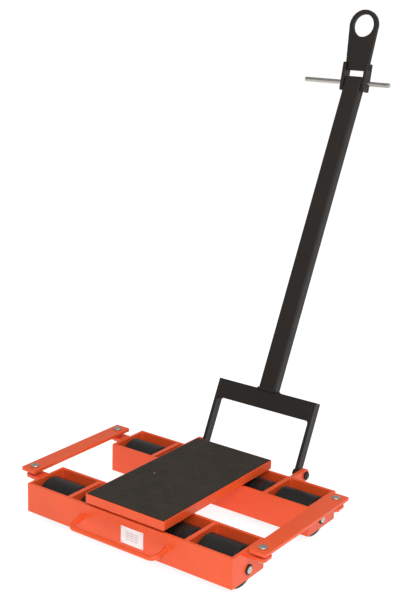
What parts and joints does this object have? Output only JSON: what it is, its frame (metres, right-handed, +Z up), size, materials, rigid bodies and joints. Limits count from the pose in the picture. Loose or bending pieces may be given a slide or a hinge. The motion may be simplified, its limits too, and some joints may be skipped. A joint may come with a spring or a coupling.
{
  "type": "machinery skate",
  "caption": "Steerable machinery skate: two linked roller bogies under a rubber-topped load platform, with a folding drawbar, grip rod and towing eye.",
  "frame": {"origin": "centre of the load face, on top of the rubber pad", "axes": "+Z up, out of the load face; +Y towards the drawbar, the way the skate is pulled; +X across the skate, along the rollers' axles"},
  "size_m": [0.738, 1.0744, 1.2571],
  "materials": {
    "orange_paint": "gloss orange-red enamel",
    "black_paint": "semi-gloss black enamel",
    "pad_rubber": "matt black rubber",
    "roller_nylon": "satin black polyamide",
    "zinc_steel": "zinc-plated steel",
    "bright_rod": "bright turned steel",
    "bearing_steel": "ground steel",
    "bronze": "greased bronze",
    "label_white": "blank white plate"
  },
  "bodies": {
    "deck": {"load_platform": "orange_paint", "rubber_pad": "pad_rubber", "kingpins": "zinc_steel", "kingpin_nuts": "zinc_steel"},
    "front_bogie": {"front_bogie_back_wall": "orange_paint", "front_bogie_front_wall": "orange_paint", "front_bogie_end_walls": "orange_paint", "front_bogie_dividers": "orange_paint", "front_hub_block": "orange_paint", "front_thrust_disc": "bronze", "front_link_brackets": "orange_paint", "front_link_bolts": "zinc_steel", "front_link_nuts": "zinc_steel", "front_link_spacers": "zinc_steel", "front_axles": "zinc_steel", "front_axle_nuts": "zinc_steel", "carry_handle": "orange_paint", "rating_plate": "label_white", "rating_plate_rivets": "zinc_steel"},
    "rear_bogie": {"rear_bogie_back_wall": "orange_paint", "rear_bogie_front_wall": "orange_paint", "rear_bogie_end_walls": "orange_paint", "rear_bogie_dividers": "orange_paint", "rear_hub_block": "orange_paint", "rear_thrust_disc": "bronze", "rear_link_brackets": "orange_paint", "rear_link_bolts": "zinc_steel", "rear_link_nuts": "zinc_steel", "rear_link_spacers": "zinc_steel", "rear_axles": "zinc_steel", "rear_axle_nuts": "zinc_steel", "drawbar_ears": "orange_paint", "drawbar_pivot_bolts": "black_paint", "drawbar_pivot_nuts": "black_paint", "drawbar_pivot_spacers": "zinc_steel"},
    "front_left_outer_roller": {"front_left_outer_roller": "roller_nylon", "front_left_outer_bearings": "bearing_steel"},
    "front_left_inner_roller": {"front_left_inner_roller": "roller_nylon", "front_left_inner_bearings": "bearing_steel"},
    "front_right_outer_roller": {"front_right_outer_roller": "roller_nylon", "front_right_outer_bearings": "bearing_steel"},
    "front_right_inner_roller": {"front_right_inner_roller": "roller_nylon", "front_right_inner_bearings": "bearing_steel"},
    "rear_left_outer_roller": {"rear_left_outer_roller": "roller_nylon", "rear_left_outer_bearings": "bearing_steel"},
    "rear_left_inner_roller": {"rear_left_inner_roller": "roller_nylon", "rear_left_inner_bearings": "bearing_steel"},
    "rear_right_outer_roller": {"rear_right_outer_roller": "roller_nylon", "rear_right_outer_bearings": "bearing_steel"},
    "rear_right_inner_roller": {"rear_right_inner_roller": "roller_nylon", "rear_right_inner_bearings": "bearing_steel"},
    "left_link": {"left_link": "orange_paint"},
    "right_link": {"right_link": "orange_paint"},
    "drawbar": {"yoke_legs": "black_paint", "yoke_crossbar": "black_paint", "drawbar_tube": "black_paint", "drawbar_tube_cap": "black_paint", "grip_rod": "bright_rod"},
    "eye": {"towing_eye": "black_paint", "eye_cheeks": "black_paint"}
  },
  "joints": [
    {"name": "steer", "type": "hinge", "parent": "deck", "child": "rear_bogie", "pos_m": [0, 0.162, -0.03], "axis": [0, 0, 1], "range_deg": [-40, 40]},
    {"name": "front_steer", "type": "hinge", "parent": "deck", "child": "front_bogie", "pos_m": [0, -0.162, -0.03], "axis": [0, 0, 1], "range_deg": [-40, 40]},
    {"name": "left_link_pivot", "type": "hinge", "parent": "rear_bogie", "child": "left_link", "pos_m": [-0.346, 0.162, -0.02], "axis": [0, 0, 1], "range_deg": [-40, 40]},
    {"name": "right_link_pivot", "type": "hinge", "parent": "rear_bogie", "child": "right_link", "pos_m": [0.346, 0.162, -0.02], "axis": [0, 0, 1], "range_deg": [-40, 40]},
    {"name": "drawbar_tilt", "type": "hinge", "parent": "rear_bogie", "child": "drawbar", "pos_m": [0.009, 0.293, -0.0488], "axis": [1, 0, 0], "range_deg": [-65, 77]},
    {"name": "eye_tilt", "type": "hinge", "parent": "drawbar", "child": "eye", "pos_m": [0.009, 0.74731, 0.92548], "axis": [1, 0, 0], "range_deg": [-103, 77]},
    {"name": "front_left_outer_spin", "type": "hinge", "parent": "front_bogie", "child": "front_left_outer_roller", "pos_m": [-0.2425, -0.162, -0.0823], "axis": [1, 0, 0], "continuous": true},
    {"name": "front_left_inner_spin", "type": "hinge", "parent": "front_bogie", "child": "front_left_inner_roller", "pos_m": [-0.1115, -0.162, -0.0823], "axis": [1, 0, 0], "continuous": true},
    {"name": "front_right_outer_spin", "type": "hinge", "parent": "front_bogie", "child": "front_right_outer_roller", "pos_m": [0.2425, -0.162, -0.0823], "axis": [1, 0, 0], "continuous": true},
    {"name": "front_right_inner_spin", "type": "hinge", "parent": "front_bogie", "child": "front_right_inner_roller", "pos_m": [0.1115, -0.162, -0.0823], "axis": [1, 0, 0], "continuous": true},
    {"name": "rear_left_outer_spin", "type": "hinge", "parent": "rear_bogie", "child": "rear_left_outer_roller", "pos_m": [-0.2425, 0.162, -0.0823], "axis": [1, 0, 0], "continuous": true},
    {"name": "rear_left_inner_spin", "type": "hinge", "parent": "rear_bogie", "child": "rear_left_inner_roller", "pos_m": [-0.1115, 0.162, -0.0823], "axis": [1, 0, 0], "continuous": true},
    {"name": "rear_right_outer_spin", "type": "hinge", "parent": "rear_bogie", "child": "rear_right_outer_roller", "pos_m": [0.2425, 0.162, -0.0823], "axis": [1, 0, 0], "continuous": true},
    {"name": "rear_right_inner_spin", "type": "hinge", "parent": "rear_bogie", "child": "rear_right_inner_roller", "pos_m": [0.1115, 0.162, -0.0823], "axis": [1, 0, 0], "continuous": true}
  ],
  "couplings": [
    {"joint": "front_steer", "follows": "steer", "ratio": 1},
    {"joint": "left_link_pivot", "follows": "steer", "ratio": -1},
    {"joint": "right_link_pivot", "follows": "steer", "ratio": -1}
  ]
}
